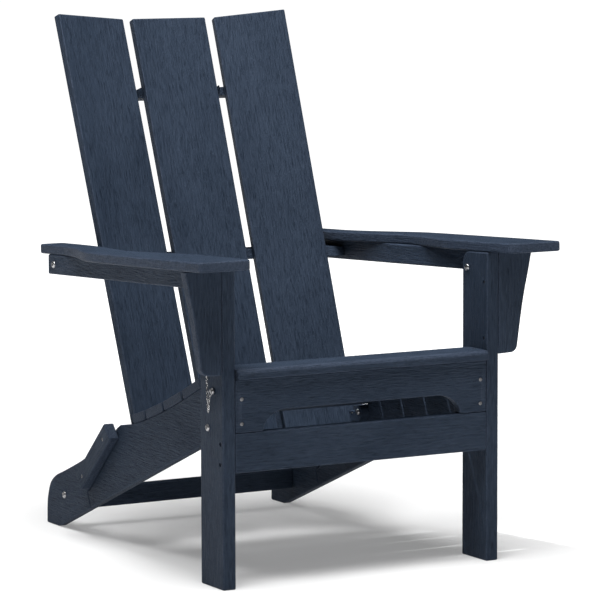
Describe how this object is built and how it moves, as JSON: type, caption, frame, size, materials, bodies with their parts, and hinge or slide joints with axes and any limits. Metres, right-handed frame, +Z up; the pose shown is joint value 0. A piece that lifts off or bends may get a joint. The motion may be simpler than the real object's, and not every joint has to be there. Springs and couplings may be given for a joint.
{
  "type": "adirondack chair",
  "caption": "Folding outdoor lounge chair of thick moulded boards, with a fanned reclined back, wide flat arms, sloped slatted seat and hinged front legs.",
  "frame": {"origin": "on the floor, under the centre of the bounding box", "axes": "+Z up, -Y to the front where a sitter's feet go, +X to the right as seen from the front"},
  "size_m": [0.714, 0.8199, 0.9527],
  "materials": {
    "navy_board": "matte moulded plastic lumber with fine embossed grain along each board",
    "hardware_steel": "satin stainless fasteners"
  },
  "bodies": {
    "seat_frame": {"seat_rail_left": "navy_board", "seat_rail_right": "navy_board", "rear_foot_left": "navy_board", "rear_foot_right": "navy_board", "splice_batten_left": "navy_board", "splice_batten_right": "navy_board", "splice_screws": "hardware_steel", "rear_stretcher": "navy_board", "rear_stretcher_bolts": "hardware_steel", "upper_apron": "navy_board", "upper_apron_screws": "hardware_steel", "nose_slat": "navy_board", "seat_slat_1": "navy_board", "seat_slat_2": "navy_board", "seat_slat_3": "navy_board", "seat_slat_4": "navy_board", "seat_slat_rear": "navy_board", "seat_slat_screws": "hardware_steel", "leg_pivot_bolts": "hardware_steel", "leg_pivot_nuts": "hardware_steel", "back_pivot_bolts": "hardware_steel"},
    "front_legs": {"front_leg_left": "navy_board", "front_leg_right": "navy_board", "lower_apron": "navy_board", "lower_apron_screws": "hardware_steel", "corbel_left": "navy_board", "corbel_right": "navy_board", "corbel_screws": "hardware_steel", "arm_pivot_bolts": "hardware_steel", "pin_chain_left": "hardware_steel", "pin_chain_right": "hardware_steel", "chain_screws": "hardware_steel"},
    "arms": {"arm_board_left": "navy_board", "arm_board_right": "navy_board", "arm_rail_left": "navy_board", "arm_rail_right": "navy_board", "arm_board_screws": "hardware_steel", "arm_end_bolts": "hardware_steel"},
    "backrest": {"back_slat_left": "navy_board", "back_slat_centre": "navy_board", "back_slat_right": "navy_board", "upper_back_rail": "navy_board", "middle_back_rail": "navy_board", "lower_back_rail": "navy_board", "hinge_bracket_left": "navy_board", "hinge_bracket_right": "navy_board", "back_screws": "hardware_steel", "bracket_screws": "hardware_steel"},
    "pin_left": {"lock_pin_left": "hardware_steel"},
    "pin_right": {"lock_pin_right": "hardware_steel"}
  },
  "joints": [
    {"name": "front_leg_fold", "type": "hinge", "parent": "seat_frame", "child": "front_legs", "pos_m": [0, -0.282, 0.272], "axis": [1, 0, 0], "range_deg": [0, 80]},
    {"name": "back_fold", "type": "hinge", "parent": "seat_frame", "child": "backrest", "pos_m": [0, 0.047, 0.22], "axis": [1, 0, 0], "range_deg": [0, 52.2]},
    {"name": "arm_fold", "type": "hinge", "parent": "front_legs", "child": "arms", "pos_m": [0, -0.27, 0.515], "axis": [1, 0, 0], "range_deg": [-52.2, 0]},
    {"name": "left_pin_pull", "type": "slide", "parent": "front_legs", "child": "pin_left", "axis": [-1, 0, 0], "range_m": [0, 0.054]},
    {"name": "right_pin_pull", "type": "slide", "parent": "front_legs", "child": "pin_right", "axis": [1, 0, 0], "range_m": [0, 0.054]}
  ],
  "couplings": [
    {"joint": "back_fold", "follows": "front_leg_fold", "ratio": 0.649},
    {"joint": "arm_fold", "follows": "front_leg_fold", "ratio": -0.649},
    {"joint": "left_pin_pull", "follows": "front_leg_fold", "m_per_rad": 0.038},
    {"joint": "right_pin_pull", "follows": "front_leg_fold", "m_per_rad": 0.038}
  ]
}
